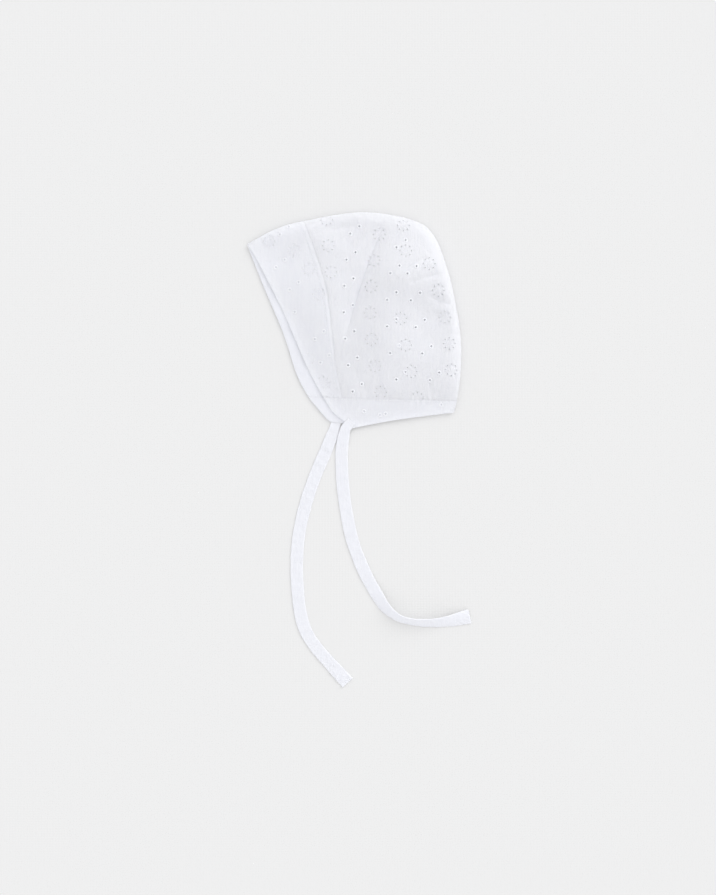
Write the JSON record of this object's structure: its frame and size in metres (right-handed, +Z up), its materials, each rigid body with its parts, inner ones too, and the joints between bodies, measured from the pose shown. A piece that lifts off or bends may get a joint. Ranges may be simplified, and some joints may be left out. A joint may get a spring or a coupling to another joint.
{
  "type": "baby bonnet",
  "caption": "Soft baby bonnet of pierced eyelet cotton lying on its side, with a doubled front band, a neck casing and flat chin ties spread on the table.",
  "frame": {"origin": "on the table, under the middle of the bonnet without its ties", "axes": "+Z up from the table, +X from the face opening to the back of the head, +Y from the neck to the top of the head"},
  "size_m": [0.1612, 0.342, 0.0207],
  "materials": {
    "eyelet_cotton": "soft white eyelet lawn",
    "band_cotton": "doubled white eyelet lawn",
    "tie_cotton": "plain white lawn"
  },
  "bodies": {
    "root": {"left_side": "eyelet_cotton", "right_side": "eyelet_cotton", "front_band": "band_cotton", "neck_band": "band_cotton", "left_tie": "tie_cotton", "right_tie": "tie_cotton"}
  },
  "joints": []
}
